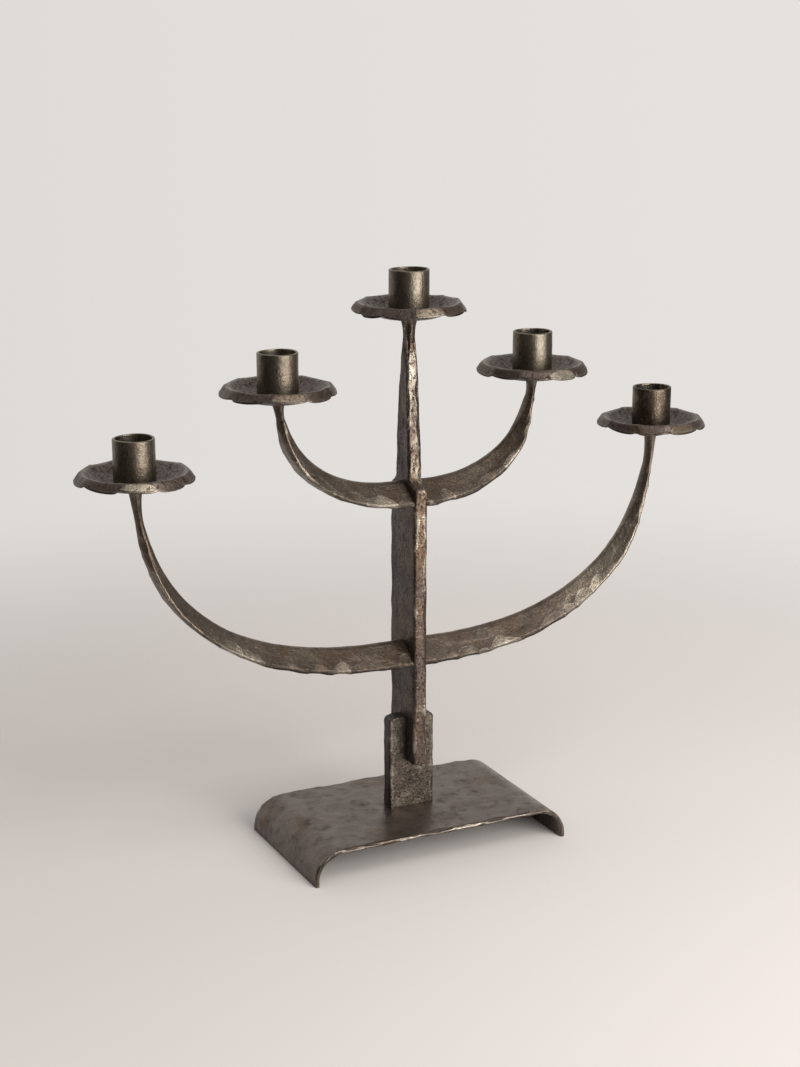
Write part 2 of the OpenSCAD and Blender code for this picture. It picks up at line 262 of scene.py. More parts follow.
def blows(a, b, around, seed):
    """Overlapping hammer blows from 0, untouched, to 1, deepest.

    Each cell of the (a, b) lattice holds one blow, a bowl whose depth falls with the square of the
    distance from its middle. At each point the deepest bowl counts, which leaves sharp ridges.
    b closes on itself after a whole number of cells.
    """
    wander, shallowest, steepness = 0.75, 0.45, 1.05
    ia, ib = np.floor(a), np.floor(b)
    deepest = np.zeros(np.broadcast(a, b).shape)
    for da in (-1, 0, 1):
        for db in (-1, 0, 1):
            ca, cb = ia + da, ib + db
            key = np.mod(cb, around)
            fa = a - (ca + 0.5 + wander * (chance(ca, key, seed) - 0.5))
            fb = b - (cb + 0.5 + wander * (chance(ca, key, seed + 1) - 0.5))
            depth = shallowest + (1 - shallowest) * chance(ca, key, seed + 2)
            deepest = np.maximum(deepest, depth - steepness * (fa * fa + fb * fb))
    return deepest


def scales(a, away, edge, seed):
    """Facets hammered along an edge, below 0 where untouched and up to 1 at their deepest, how
    near each point is to the crest where two facets meet, and a tone of each facet's own.

    Each cell of a holds one facet, cut deepest at the edge. Its depth falls evenly with the
    distance away from the edge and with the square of the distance from its middle, so that its
    border is an arch. At each point the deepest facet counts. edge numbers the edges.
    """
    wander, shallowest, widest, narrowing, crest_width = 0.9, 0.25, 0.7, 1.8, 0.1
    cell = np.floor(a)
    depths, tones = [], []
    for step in (-1, 0, 1):
        key = cell + step
        f = a - (key + 0.5 + wander * (chance(key, edge, seed) - 0.5))
        depth = shallowest + (1 - shallowest) * chance(key, edge, seed + 1)
        steepness = widest + narrowing * chance(key, edge, seed + 2)
        depths.append(depth - steepness * f * f - away)
        tones.append(chance(key, edge, seed + 3))
    depths = np.array(depths)
    second, deepest = np.sort(depths, axis=0)[1:]
    crest = np.exp(-((deepest - second) / crest_width) ** 2) * smooth(second, 0.0, crest_width)
    tone = (np.array(np.broadcast_arrays(*tones)) * (depths >= deepest)).max(axis=0)
    return deepest, crest, tone


def swell(a, b, around, seed):
    """Slow unevenness from -1 to 1: random heights on a lattice, joined by smoothstep both ways."""
    ia, ib = np.floor(a), np.floor(b)
    fa, fb = smooth(a - ia), smooth(b - ib)
    corner = [[chance(ia + i, np.mod(ib + j, around), seed) for j in (0, 1)] for i in (0, 1)]
    near = corner[0][0] * (1 - fb) + corner[0][1] * fb
    far = corner[1][0] * (1 - fb) + corner[1][1] * fb
    return 2.0 * (near * (1 - fa) + far * fa) - 1.0


def grid_normals(points, rising=None):
    """Unit normals of a grid that closes in its second direction: the cross product of the
    differences around and along it. They are turned to point away from each ring's middle, or
    upwards on the ring that rising names."""
    along = np.gradient(points, axis=0)
    around = np.roll(points, -1, axis=1) - np.roll(points, 1, axis=1)
    normals = np.cross(around, along)
    normals /= np.maximum(np.linalg.norm(normals, axis=2, keepdims=True), 1e-12)
    if rising is None:
        outward = (normals * (points - points.mean(axis=1, keepdims=True))).sum()
    else:
        outward = normals[rising, :, 2].sum()
    return normals * (1.0 if outward > 0 else -1.0)


def grid_quads(rings, around):
    """The faces of a grid that closes in its second direction, as numbers of its points."""
    i, j = np.meshgrid(np.arange(rings - 1), np.arange(around), indexing="ij")
    k = (j + 1) % around
    corners = [i * around + j, (i + 1) * around + j, (i + 1) * around + k, i * around + k]
    return np.stack(corners, 2).reshape(-1, 4)


def new_object(name, data):
    """A new object in the scene, at the origin."""
    made = bpy.data.objects.new(name, data)
    bpy.context.scene.collection.objects.link(made)
    return made


def tube_object(name, points, poles, attributes):
    """A closed mesh from a grid whose rings run round it, with a fan to a pole at each end.

    points is (rings, around, 3), and each attribute broadcasts to (rings, around). The faces are
    turned outwards by the sign of the volume, a sum of corner products.
    """
    rings, around = points.shape[:2]
    verts = np.concatenate([points.reshape(-1, 3), np.array(poles, float).reshape(2, 3)])
    quads = grid_quads(rings, around)
    j = np.arange(around)
    k = (j + 1) % around
    last = (rings - 1) * around
    fans = np.concatenate([
        np.stack([np.full(around, len(verts) - 2), j, k], 1),
        np.stack([np.full(around, len(verts) - 1), last + k, last + j], 1),
    ])
    triangles = np.concatenate([quads[:, [0, 1, 2]], quads[:, [0, 2, 3]], fans])
    a, b, c = (verts[triangles[:, n]] for n in range(3))
    if (a * np.cross(b, c)).sum() < 0:
        quads, fans = quads[:, ::-1], fans[:, ::-1]
    mesh = bpy.data.meshes.new(name)
    mesh.vertices.add(len(verts))
    mesh.vertices.foreach_set("co", verts.astype(np.float32).ravel())
    corners = np.concatenate([quads.ravel(), fans.ravel()])
    starts = [np.arange(len(quads)) * 4, len(quads) * 4 + np.arange(len(fans)) * 3]
    starts = np.concatenate(starts)
    mesh.loops.add(len(corners))
    mesh.loops.foreach_set("vertex_index", corners.astype(np.int32))
    mesh.polygons.add(len(starts))
    mesh.polygons.foreach_set("loop_start", starts.astype(np.int32))
    mesh.polygons.foreach_set("use_smooth", np.ones(len(starts), bool))
    mesh.update(calc_edges=True)
    mesh.validate()
    for key, values in attributes.items():
        values = np.broadcast_to(values, (rings, around))
        at_poles = [values[end].mean(keepdims=True) for end in (0, -1)]
        full = np.concatenate([values.ravel(), *at_poles]).astype(np.float32)
        mesh.attributes.new(key, "FLOAT", "POINT").data.foreach_set("value", full)
    return new_object(name, mesh)


def section_weights(corners, count):
    """Weights that turn a section's corners into evenly spaced points with softened corners.

    Points are spread by length along the polygon given, each a blend of the two corners next to
    it, and are then blurred once with their neighbours. Also returns each point's distance along
    the outline, and where the corners are on it.
    """
    sides = np.linalg.norm(np.roll(corners, -1, axis=0) - corners, axis=1)
    at = np.concatenate([[0.0], np.cumsum(sides)])
    s = (np.arange(count) + 0.5) / count * at[-1]
    side = np.clip(np.searchsorted(at, s, side="right") - 1, 0, len(corners) - 1)
    part = (s - at[side]) / sides[side]
    weights = np.zeros((count, len(corners)))
    weights[np.arange(count), side] += 1 - part
    weights[np.arange(count), (side + 1) % len(corners)] += part
    beside = np.roll(weights, 1, axis=0) + np.roll(weights, -1, axis=0)
    return 0.5 * weights + 0.25 * beside, s, at


def nearest_edge(s, at, corners):
    """The distance along an outline to the nearest of its named corners, and that one's number."""
    d = np.abs(s[:, None] - at[list(corners)][None, :])
    d = np.minimum(d, at[-1] - d)
    return d.min(axis=1), np.array(corners)[d.argmin(axis=1)]


def closing_rings(ring, centre, out, bevel):
    """Rings that close the end of a bar: three that round its edge, then three across its face.

    Each is the end ring drawn towards its centre, and pushed out along the bar in a quarter
    circle of the bevel's radius.
    """
    shares_of_face = (0.85, 0.55, 0.25)
    span = np.linalg.norm(ring - centre, axis=1, keepdims=True)
    inward = (centre - ring) / np.maximum(span, 1e-9)
    rounded = [
        ring + inward * np.minimum(bevel * (1 - np.cos(q)), span) + out * (bevel * np.sin(q))
        for q in np.radians([30.0, 60.0, 90.0])
    ]
    face = rounded[-1]
    middle = centre + out * bevel
    return rounded + [between(middle, face, part) for part in shares_of_face]


def close_ends(skin, bevel):
    """The rings of a bar's skin with those that close its ends, and how many each end adds.

    The rounding of an end takes its length from the bar, so that the end stays where it was.
    """
    ends = []
    for index, other in ((0, 1), (-1, -2)):
        centre, before = skin[index].mean(axis=0), skin[other].mean(axis=0)
        out = (centre - before) / np.linalg.norm(centre - before)
        skin[index] -= out * bevel
        ends.append(closing_rings(skin[index], centre - out * bevel, out, bevel))
    first, last = np.array(ends[0][::-1]), np.array(ends[1])
    return np.concatenate([first, skin, last]), (len(first), len(last))


def hammered_bar(
    name, rings, distance, section, work, seed, calm=1.0, polish_and_light=1.0, spacing=1.0,
    edge_wear=1.0, spread=1.0, pale=0.0, edge_depth=1.0,
):
    """A bar with a hammered skin, from the corner points of its section at each station.

    rings is (stations, corners, 3) and distance the length along the bar at each station. The
    skin is the weights applied to the corners, moved inwards by the blows on its faces, by the
    facets along its named edges, and by a slow sway. calm scales the work along the bar, spacing
    its pitch, and edge_depth the facets alone. polish scales how far the iron counts as facing
    front, where the stem's and the bracket's iron is burnished and painted with a highlight and
    the arms' iron is painted with a shade. edge_wear is how much the facets are burnished, and
    pale makes everything paler, a painted highlight. spread is how much of the mean depth of the
    work comes back outwards, as forged iron spreads under the hammer.
    """
    weights, s, at, off, edge, reach = section
    skin = np.einsum("mk,nkc->nmc", weights, rings)
    normals = grid_normals(skin)
    calm, polish_and_light, edge_wear, pale = (
        np.broadcast_to(v, len(distance))[:, None] for v in (calm, polish_and_light, edge_wear, pale)
    )
    pitch = work.pitch * spacing
    a = (distance / pitch)[:, None]
    around = max(3, int(round(at[-1] / (0.9 * pitch))))
    b = (s / at[-1] * around)[None, :]
    dent = blows(a, b, around, seed)
    small = blows(a * 2.3 + 5, b * 2, around * 2, seed + 11)
    sway = swell(a * 0.45, b * 0.5, around, seed + 23)
    warp = swell(a * 1.6, b * 1.5, around * 3, seed + 61)
    away = (off / reach)[None, :] + 0.08 * warp
    depth, crest, tone = scales(a * 0.95 + 0.12 * warp, away, edge[None, :], seed + 41)
    facet = np.maximum(depth, 0)
    cut = work.face * (0.75 * dent + 0.25 * small) + work.edge * edge_depth * facet
    cut = cut + work.sway * (0.5 + 0.5 * sway) * 0.6
    skin = skin - normals * ((cut - spread * cut.mean()) * calm)[:, :, None]
    grid, added = close_ends(skin, 0.5 * MM)
    # Burnished most on the arched borders of the facets and on the edge itself
    line = 0.7 * MM
    border = np.exp(-(depth * reach / line) ** 2) + crest
    outer = np.exp(-(off / line) ** 2)[None, :]
    filled = smooth(facet, 0.0, 0.25) * smooth(tone, 0.4, 1.0)
    edges = (border * (0.12 + 0.5 * tone) + outer * 0.3 * tone + filled * 0.5) * edge_wear
    ridge = np.clip(1.0 - dent / 0.55, 0, 1)
    # The burnish takes pale as a painted highlight, and front is how far a face turns to the front,
    # for a painted highlight on the stem and the bracket and a painted shade on the arms
    fields = {
        "wear_and_highlight": np.clip(edges + 0.2 * ridge * ridge + pale, 0, 1),
        "dent": dent,
        "front": np.abs(normals[:, :, 1]) * polish_and_light,
    }
    fields = {key: np.pad(v, (added, (0, 0)), mode="edge") for key, v in fields.items()}
    poles = (grid[0].mean(axis=0), grid[-1].mean(axis=0))
    return tube_object(name, grid, poles, fields)


def finish_piece(piece, material, slot, *nodes):
    """Gives a piece its finish, and makes it ride on the body in its CAD nodes' place."""
    piece.data.materials.append(material)
    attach(piece, "root")
    if nodes:
        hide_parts(*nodes)


class Field:
    """A shader socket that adds Math nodes when it is used in a sum, difference or product."""

    def __init__(self, paint, socket):
        self.paint, self.socket = paint, socket

    def _maths(self, operation, *values, clamp=False):
        settings = {"operation": operation, "use_clamp": clamp}
        return self.paint.node("ShaderNodeMath", settings, {n: v for n, v in enumerate(values)})

    def __add__(self, other):
        return self._maths("ADD", self, other)

    def __sub__(self, other):
        return self._maths("SUBTRACT", self, other)

    def __rsub__(self, other):
        return self._maths("SUBTRACT", other, self)

    def __mul__(self, other):
        return self._maths("MULTIPLY", self, other)

    __radd__, __rmul__ = __add__, __mul__

    def clamped(self):
        """The value held between 0 and 1."""
        return self._maths("ADD", self, 0.0, clamp=True)

    def above(self, low, high):
        """Smoothstep of the value from low to high."""
        settings = {"interpolation_type": "SMOOTHSTEP"}
        inputs = {"Value": self, "From Min": low, "From Max": high}
        return self.paint.node("ShaderNodeMapRange", settings, inputs)


class Paint:
    """Builds the nodes of one material or world."""

    def __init__(self, owner, coordinates="Object"):
        owner.use_nodes = True
        self.owner, self.tree = owner, owner.node_tree
        self.tree.nodes.clear()
        self.place = self.node("ShaderNodeTexCoord", output=coordinates)

    def node(self, kind, settings=None, inputs=None, output=0):
        """Adds a node: its settings first, then its sockets' values or links. Returns an output, if
        it has one."""
        made = self.tree.nodes.new(kind)
        for key, value in (settings or {}).items():
            setattr(made, key, value)
        for key, value in (inputs or {}).items():
            if isinstance(value, Field):
                self.tree.links.new(value.socket, made.inputs[key])
            elif hasattr(value, "__len__") and len(value) == 3 and made.inputs[key].type == "RGBA":
                made.inputs[key].default_value = (*value, 1.0)
            else:
                made.inputs[key].default_value = value
        return Field(self, made.outputs[output]) if made.outputs else None

    def attribute(self, name):
        """A number written on the mesh's points."""
        return self.node("ShaderNodeAttribute", {"attribute_name": name}, output="Fac")

    def noise(self, size, detail, roughness, stretch=(1, 1, 1)):
        """Noise whose lumps are about a size in metres, stretched by a factor along each axis."""
        scale = tuple(1 / factor for factor in stretch)
        spot = self.node("ShaderNodeMapping", inputs={"Vector": self.place, "Scale": scale})
        inputs = {"Vector": spot, "Scale": 0.5 / size, "Detail": detail, "Roughness": roughness}
        return self.node("ShaderNodeTexNoise", {"noise_dimensions": "3D"}, inputs)

    def part(self, vector, axis):
        """One of a vector's three numbers."""
        return self.node("ShaderNodeSeparateXYZ", inputs={"Vector": vector}, output=axis)

    def mix(self, factor, first, second):
        """A colour between two, by a factor."""
        settings = {"data_type": "RGBA", "clamp_factor": True}
        return self.node("ShaderNodeMix", settings, {0: factor, 6: first, 7: second}, output=2)

    def bump(self, height, distance, strength):
        """A bent normal from a height, whose full range is a distance in metres."""
        inputs = {"Height": height, "Distance": distance, "Strength": strength}
        return self.node("ShaderNodeBump", inputs=inputs, output="Normal")

    def surface(self, tint, roughness, normal):
        """Ends the material in one Principled shader of bare metal."""
        inputs = {"Base Color": tint, "Roughness": roughness, "Normal": normal}
        inputs["Metallic"] = METALLIC
        shader = self.node("ShaderNodeBsdfPrincipled", inputs=inputs)
        self.node("ShaderNodeOutputMaterial", inputs={"Surface": shader})
        return self.owner


def dimmed(tint, factor):
    """A colour times a factor."""
    return tuple(value * factor for value in tint)


def forged_iron(
    name, settings, body, brown_share, pitting, wear_and_highlight, streak=(1, 1, 1), front=0.0, grain=1.0,
    sheen=0.0, front_shade=0.0, patchy=0.0, warmth=1.3, calm=0.0,
):
    """Hammered, brushed and waxed iron.

    Grey and brown patches over a darker scale in pits, burnished where the mesh says that blows
    meet or edges stand out, with fine grain in its bump. The burnish also carries the painted
    highlights that the mesh asks for. body is the ground colour, brown_share how much of it turns
    brown, pitting how deep the pits are, and wear how bright the burnish and its painted
    highlights are. streak stretches the patches, grain scales the grain, and sheen is taken off
    the roughness. Where the mesh says front, front burnishes and paints a highlight there, which
    warmth browns, and burnt instead paints a shade there, browner and darker the more the iron
    faces front. patchy gives the burnish harder borders, and calm makes the blows browner and
    less grainy.
    """
    c = settings.colours
    paint = Paint(bpy.data.materials.new(name))
    burnish_and_highlight, hollow = paint.attribute("wear_and_highlight"), paint.attribute("dent")
    if front or front_shade:
        facing = paint.attribute("front")
    patches = paint.noise(14 * MM, 4.0, 0.6, streak)
    mottle = paint.noise(3.0 * MM, 5.0, 0.65, streak)
    grit = paint.noise(0.75 * MM, 2.0, 0.6, streak)
    pits = paint.noise(1.3 * MM, 3.0, 0.6)
    brown = patches.above(0.62 - 0.3 * brown_share, 0.78 - 0.2 * brown_share)
    coarse = 1.0
    if calm:
        coarse = (1 - hollow * calm).clamped()
        brown = brown + hollow * 0.45
    # Painted shade where the mesh says front: browner the more the iron faces front
    if front_shade:
        brown = brown * (0.45 + facing * 0.7)
    if front:
        # Warmest where the burnish and its painted highlight are half way, paler again where they
        # are full
        brown = brown + facing * (1.6 - facing) * warmth
    tint = paint.mix((brown * 0.8).clamped(), body, c.brown)
    dark = mottle.above(0.50, 0.72) * 0.5 + pits.above(0.55, 0.70) * pitting * 0.6
    dark = dark + grit.above(0.5, 0.36) * 0.4 * grain * coarse
    dark = dark + hollow.above(0.3, 1.0) * (0.3 - 0.1 * calm)
    # The painted shade is darkest where the iron faces front most
    if front_shade:
        dark = dark + facing.above(0.7, 0.92) * front_shade
    dark = dark.clamped()
    tint = paint.mix(dark * 0.85, tint, c.dark)
    # Burnish, and a painted highlight where the mesh says front
    polish_and_light = (burnish_and_highlight + facing * front).clamped() if front else burnish_and_highlight
    lit = polish_and_light * (0.3 + patches) * (0.45 + 1.1 * mottle)
    lit = lit.above(0.08 + 0.2 * patchy, 0.75 - 0.29 * patchy) * wear_and_highlight * (1 - dark * 0.7)
    glints = grit.above(0.56, 0.72) * (0.10 + 0.25 * mottle) * grain * coarse
    tint = paint.mix((lit + glints).clamped(), tint, c.bright)
    rough = c.roughness - sheen + (mottle - 0.5) * 0.3 + dark * 0.15 - polish_and_light * 0.12
    height = (grit * 0.4 + mottle * 0.6 - pits.above(0.56, 0.70) * pitting) * coarse
    normal = paint.bump(height - hollow * 0.1, 0.45 * MM, 0.9 * grain)
    return paint.surface(tint, rough.clamped(), normal)


def socket_steel(settings):
    """Smooth bronze-toned steel with faint upright brushing and fine bright speckles, tarnished
    brown where the mesh says dull."""
    c = settings.colours
    paint = Paint(bpy.data.materials.new("socket_steel"))
    brushing = paint.noise(1.2 * MM, 3.0, 0.6, (1, 1, 5))
    cloud = paint.noise(7 * MM, 4.0, 0.65)
    mottle = paint.noise(1.6 * MM, 3.0, 0.6)
    speckle = paint.noise(0.6 * MM, 2.0, 0.6)
    burnish_and_highlight, dull = paint.attribute("wear_and_highlight"), paint.attribute("dull")
    patchy = cloud.above(0.38, 0.62)
    tint = paint.mix((patchy * 0.45 + dull * 0.5).clamped(), c.bronze, c.brown)
    dark = brushing.above(0.52, 0.72) * 0.4 + mottle.above(0.5, 0.7) * 0.35
    dark = dark + dull * (patchy * 0.45 + 0.1)
    tint = paint.mix(dark.clamped(), tint, c.dark)
    # Paler on the worn rim, and with a painted glint inside the bore
    lit = (burnish_and_highlight * (0.3 + mottle.above(0.4, 0.6)) + speckle.above(0.60, 0.76) * 0.5).clamped()
    tint = paint.mix(lit, tint, c.bright)
    rough = 0.40 + (cloud - 0.5) * 0.3 + (brushing - 0.5) * 0.15 - burnish_and_highlight * 0.15
    normal = paint.bump(brushing * 0.3 + mottle * 0.5 + speckle * 0.45, 0.35 * MM, 1.0)
    return paint.surface(tint, rough.clamped(), normal)


def axis_poles(x, grid):
    """The points of an upright axis at x that are level with a grid's first and last ring."""
    return [(x, 0, grid[end, :, 2].mean()) for end in (0, -1)]


def seat(name):
    """Where a light stands: the x of its axis, and the heights of its pan's floor and its rim."""
    low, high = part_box("socket_" + name)
    return (low.x + high.x) / 2, low.z, high.z


def chamfered(half_x, half_y, chamfer):
    """The eight corners of a chamfered rectangle at each station, as (stations, 8, 2)."""
    x, y, c = np.broadcast_arrays(half_x, half_y, chamfer)
    return np.stack([
        np.stack([x, c - y], -1), np.stack([x, y - c], -1),
        np.stack([x - c, y], -1), np.stack([c - x, y], -1),
        np.stack([-x, y - c], -1), np.stack([-x, c - y], -1),
        np.stack([c - x, -y], -1), np.stack([x - c, -y], -1),
    ], axis=-2)


def upright_rings(corners, heights):
    """The corners of the level section of each station, set at its height."""
    level = np.broadcast_to(heights[:, None, None], (*corners.shape[:2], 1))
    return np.concatenate([corners, level], axis=2)


def section_of(corners, step, edges, reach):
    """The weights and outline distances of a section from its corners, with the nearest edge and
    how far its facets reach."""
    around = np.linalg.norm(np.roll(corners, -1, axis=0) - corners, axis=1).sum()
    weights, s, at = section_weights(corners, int(around / step))
    return weights, s, at, *nearest_edge(s, at, edges), reach


def base_plate(settings):
    """The bent foot plate: its flat section carried over an arch of two straight feet, two
    quarter circles and a level top."""
    z, step = settings.sizes, settings.sizes.step
    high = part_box("base_plate")[1]
    half_l, half_w, top = high.x, high.y, high.z
    r, t = z.bend_radius, z.plate_thickness / 2
    foot, level = top - r, 2 * (half_l - r)
    turn = (r - t) * np.pi / 2
    total = 2 * foot + 2 * turn + level
    d = np.linspace(0, total, int(total / step))
    half = np.minimum(d, total - d)
    angle = np.clip((half - foot) / (r - t), 0, np.pi / 2)
    across = np.maximum(half - foot - turn, 0)
    x = half_l - r + (r - t) * np.cos(angle) - across
    height = np.minimum(half, foot) + (r - t) * np.sin(angle)
    side = np.where(d < total / 2, -1.0, 1.0)
    centre = np.stack([side * x, np.zeros_like(x), height], 1)
    out = np.stack([side * np.cos(angle), np.zeros_like(x), np.sin(angle)], 1)
    corners = chamfered(np.full_like(d, t), half_w, 0.7 * MM)
    deep = np.array([0, 1.0, 0])
    rings = centre[:, None, :] + corners[:, :, :1] * out[:, None, :] + corners[:, :, 1:] * deep
    section = section_of(corners[0], step, edges=range(8), reach=3.0 * MM)
    plate = hammered_bar(
        "foot_plate_forged", rings, d, section, settings.hammer, seed=31,
        spacing=1.3, edge_wear=0.9, spread=0.0, edge_depth=2.0,
    )
    iron = forged_iron(
        "plate_iron", settings, settings.colours.grey,
        brown_share=0.4, pitting=0.2, wear_and_highlight=0.8, grain=0.5, sheen=0.08,
    )
    finish_piece(plate, iron, "forged_iron", "base_plate")


def foot_bracket(settings):
    """The upright bracket: a chamfered rectangle carried up, narrowed to round its top corners."""
    z, step = settings.sizes, settings.sizes.step
    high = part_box("foot_bracket")[1]
    plate_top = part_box("base_plate")[1].z
    d = np.linspace(plate_top - 0.6 * MM, high.z, int((high.z - plate_top) / step * 1.2))
    rise = np.clip(d - (high.z - z.bracket_round), 0, z.bracket_round)
    narrowed = z.bracket_round - np.sqrt(np.maximum(z.bracket_round ** 2 - rise ** 2, 0))
    corners = chamfered(high.x - narrowed, high.y, 0.6 * MM)
    section = section_of(corners[0], step * 0.8, edges=range(8), reach=2.2 * MM)
    bracket = hammered_bar(
        "foot_bracket_forged", upright_rings(corners, d), d, section, settings.hammer, seed=53,
        calm=0.6, edge_wear=0.35,
    )
    # Its faces that turn front are burnished and painted with a highlight
    iron = forged_iron(
        "bracket_iron", settings, settings.colours.patina,
        brown_share=0.3, pitting=0.8, wear_and_highlight=0.9, front=0.27, warmth=0.25,
    )
    finish_piece(bracket, iron, "forged_iron", "foot_bracket")


def stem(settings):
    """The stem: a chamfered rectangle whose depth, thickness and chamfer follow the height, from
    the flat bar over the shoulder and the tapered shank to the flared neck."""
    z, step = settings.sizes, settings.sizes.step
    low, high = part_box("stem")
    top = seat("centre")[1] - z.pan_sheet
    waist = top - z.stem_neck_length
    shank = z.shoulder_z + z.shoulder_rise
    part = np.linspace(0, 1, 9)
    same = np.ones_like(part)
    bar_depth = high.y - low.y
    # What the chamfer comes to where the section has turned into an octagon
    neck_edge = z.stem_neck * (1 - 1 / np.sqrt(2))
    # Height, depth, thickness and chamfer of the bar's foot, the shoulder, the shank and the neck
    stations = np.concatenate([
        [[low.z, bar_depth, z.stem_thickness, z.stem_edge]],
        np.stack([
            z.shoulder_z + part * z.shoulder_rise,
            between(z.shank_depth, bar_depth, (1 - part) ** 1.5),
            same * z.stem_thickness,
            between(z.stem_edge, z.shank_edge, part),
        ], 1),
        np.stack([
            between(shank, waist, part),
            between(z.shank_depth, z.waist_depth, part ** 1.3),
            between(z.stem_thickness, z.waist_thickness, part ** 3),
            same * z.shank_edge,
        ], 1)[1:-1],
        np.stack([
            waist + part * z.stem_neck_length,
            between(z.waist_depth, z.stem_neck, part ** 2),
            between(z.waist_thickness, z.stem_neck, part ** 2),
            between(z.shank_edge, neck_edge, np.minimum(part * 1.5, 1)),
        ], 1),
    ])
    d = np.linspace(low.z, top + 0.3 * MM, int((top - low.z) / step))
    depth, thickness, chamfer = (np.interp(d, stations[:, 0], stations[:, n]) for n in (1, 2, 3))
    corners = chamfered(thickness / 2, depth / 2, chamfer)
    section = section_of(corners[0], step, edges=(1, 3, 5, 7), reach=3.0 * MM)
    calm = 1.0 - 0.7 * smooth(d, waist, waist + 5 * MM)
    calm = calm * (1.2 + 0.7 * smooth(d, z.shoulder_z, shank))
    # How far the faces that turn front are burnished and painted with a highlight: most on the
    # shank, little on the neck
    polish_and_light = 0.5 + 0.5 * smooth(d, z.shoulder_z - 4 * MM, shank + 6 * MM)
    polish_and_light = polish_and_light * (1 - 0.8 * smooth(d, waist - 6 * MM, waist + 2 * MM))
    # The thin end of the shank is painted paler, a painted highlight, up to the waist
    burnish_and_highlight = smooth(d, waist - 32 * MM, waist - 20 * MM) * (1 - smooth(d, waist - 4 * MM, waist))
    bar = hammered_bar(
        "stem_forged", upright_rings(corners, d), d, section, settings.hammer, seed=71,
        calm=calm, polish_and_light=polish_and_light, spacing=1.6, edge_wear=0.45, spread=1.6, pale=0.1 * burnish_and_highlight,
    )
    iron = forged_iron(
        "stem_iron", settings, settings.colours.cool,
        brown_share=0.6, pitting=0.6, wear_and_highlight=0.9, streak=(1, 1, 1.5),
        front=0.4, grain=1.2, patchy=1.0, warmth=1.0,
    )
    finish_piece(bar, iron, "forged_iron", "stem")


def arm_curve(p, t):
    """Points of a cubic curve at each t from 0 to 1, and its unit directions there, which are
    level at its start and upright at its end.

    With u = 1 - t the points are u cubed p0 + 3 u squared t p1 + 3 u t squared p2 + t cubed p3.
    """
    u = 1 - t
    line = u ** 3 * p[0] + 3 * u ** 2 * t * p[1] + 3 * u * t ** 2 * p[2] + t ** 3 * p[3]
    along = u ** 2 * (p[1] - p[0]) + 2 * u * t * (p[2] - p[1]) + t ** 2 * (p[3] - p[2])
    along[0], along[-1] = (1, 0), (0, 1)
    return line, along / np.linalg.norm(along, axis=1, keepdims=True)


def arm(settings, name, base_z, run, rise, sag, iron):
    """One arm: its ridged section carried along a cubic curve from the stem to under its pan.

    The curve's four control points are the root, the root moved out by the run and down by the
    sag, the neck moved down by the rise, and the neck. The section tapers to the waist, where it
    has turned round, and flares into the neck.
    """
    z, step = settings.sizes, settings.sizes.step
    x, floor, _ = seat(name.replace("lower_arm", "outer").replace("upper_arm", "inner"))
    side = 1.0 if x > 0 else -1.0
    reach, end = abs(x), floor - z.pan_sheet
    root = z.stem_thickness / 2
    middle = base_z + z.arm_height / 2
    controls = ((root, middle), (root + run, middle - sag), (reach, end - rise), (reach, end))
    t = np.linspace(0, 1, int(1.25 * (reach + end - base_z) * 0.85 / step))
    line, along = arm_curve(np.array(controls), t[:, None])
    waist_at, taper = 0.84, 1.3
    drawn = np.minimum(t / waist_at, 1) ** taper
    flare = np.clip((t - waist_at) / (1 - waist_at), 0, 1) ** 2
    low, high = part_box(name)
    deep = high.y - low.y
    h = between(z.arm_height, z.neck_height, drawn) + (z.neck_width - z.neck_height) * flare
    w = between(deep, z.neck_depth, drawn) + (z.neck_width - z.neck_depth) * flare
    # Each corner of the ridged half section moves to its place on a half circle
    turned = smooth(t, 0.5, waist_at)[:, None]
    ridge = np.array(RIDGE)
    angle = np.radians((np.arange(len(ridge)) + 0.5) * 180 / len(ridge))
    y = between(ridge[:, 0], np.sin(angle), turned) * w[:, None] / 2
    up = between(ridge[:, 1] - 0.5, -np.cos(angle) / 2, turned) * h[:, None]
    y = np.concatenate([y, -y[:, ::-1]], axis=1)
    up = np.concatenate([up, up[:, ::-1]], axis=1)
    # Two more stations inside the stem, so that its hammered side leaves no gap at the root, and
    # one more that reaches up into the pan
    line, along, y, up, t = (
        np.concatenate([v[:1], v[:1], v, v[-1:]]) for v in (line, along, y, up, t)
    )
    line[0] -= (2.2 * MM, 0)
    line[1] -= (1.1 * MM, 0)
    line[-1] += (0, 0.4 * MM)
    rings = np.stack([
        side * (line[:, :1] - along[:, 1:] * up), y, line[:, 1:] + along[:, :1] * up,
    ], axis=2)
    first = np.stack([y[0], up[0]], 1)
    section = section_of(first, step * 0.85, edges=(1, 10), reach=11.0 * MM)
    calm = 1.0 - 0.75 * smooth(t, waist_at - 0.06, waist_at + 0.02)
    seed, pale, start, front_shade = ARMS[name]
    # The root, and the neck as far as it counts as facing front, take the painted shade, and pale
    # makes the arm paler from the share start on, a painted highlight
    bar = hammered_bar(
        name + "_forged", rings, lengths_along(line), section, settings.hammer, seed,
        calm=calm * 1.7, polish_and_light=1 - smooth(t, 0.35, 0.7) + front_shade * smooth(t, 0.62, 0.8),
        spacing=1.2, edge_wear=1.2 - 0.7 * smooth(t, 0.45, 0.8), spread=1.4,
        pale=pale * smooth(t, start, start + 0.2) * (1 - 0.7 * smooth(t, 0.6, 0.8)),
    )
    finish_piece(bar, iron, "forged_iron", name)


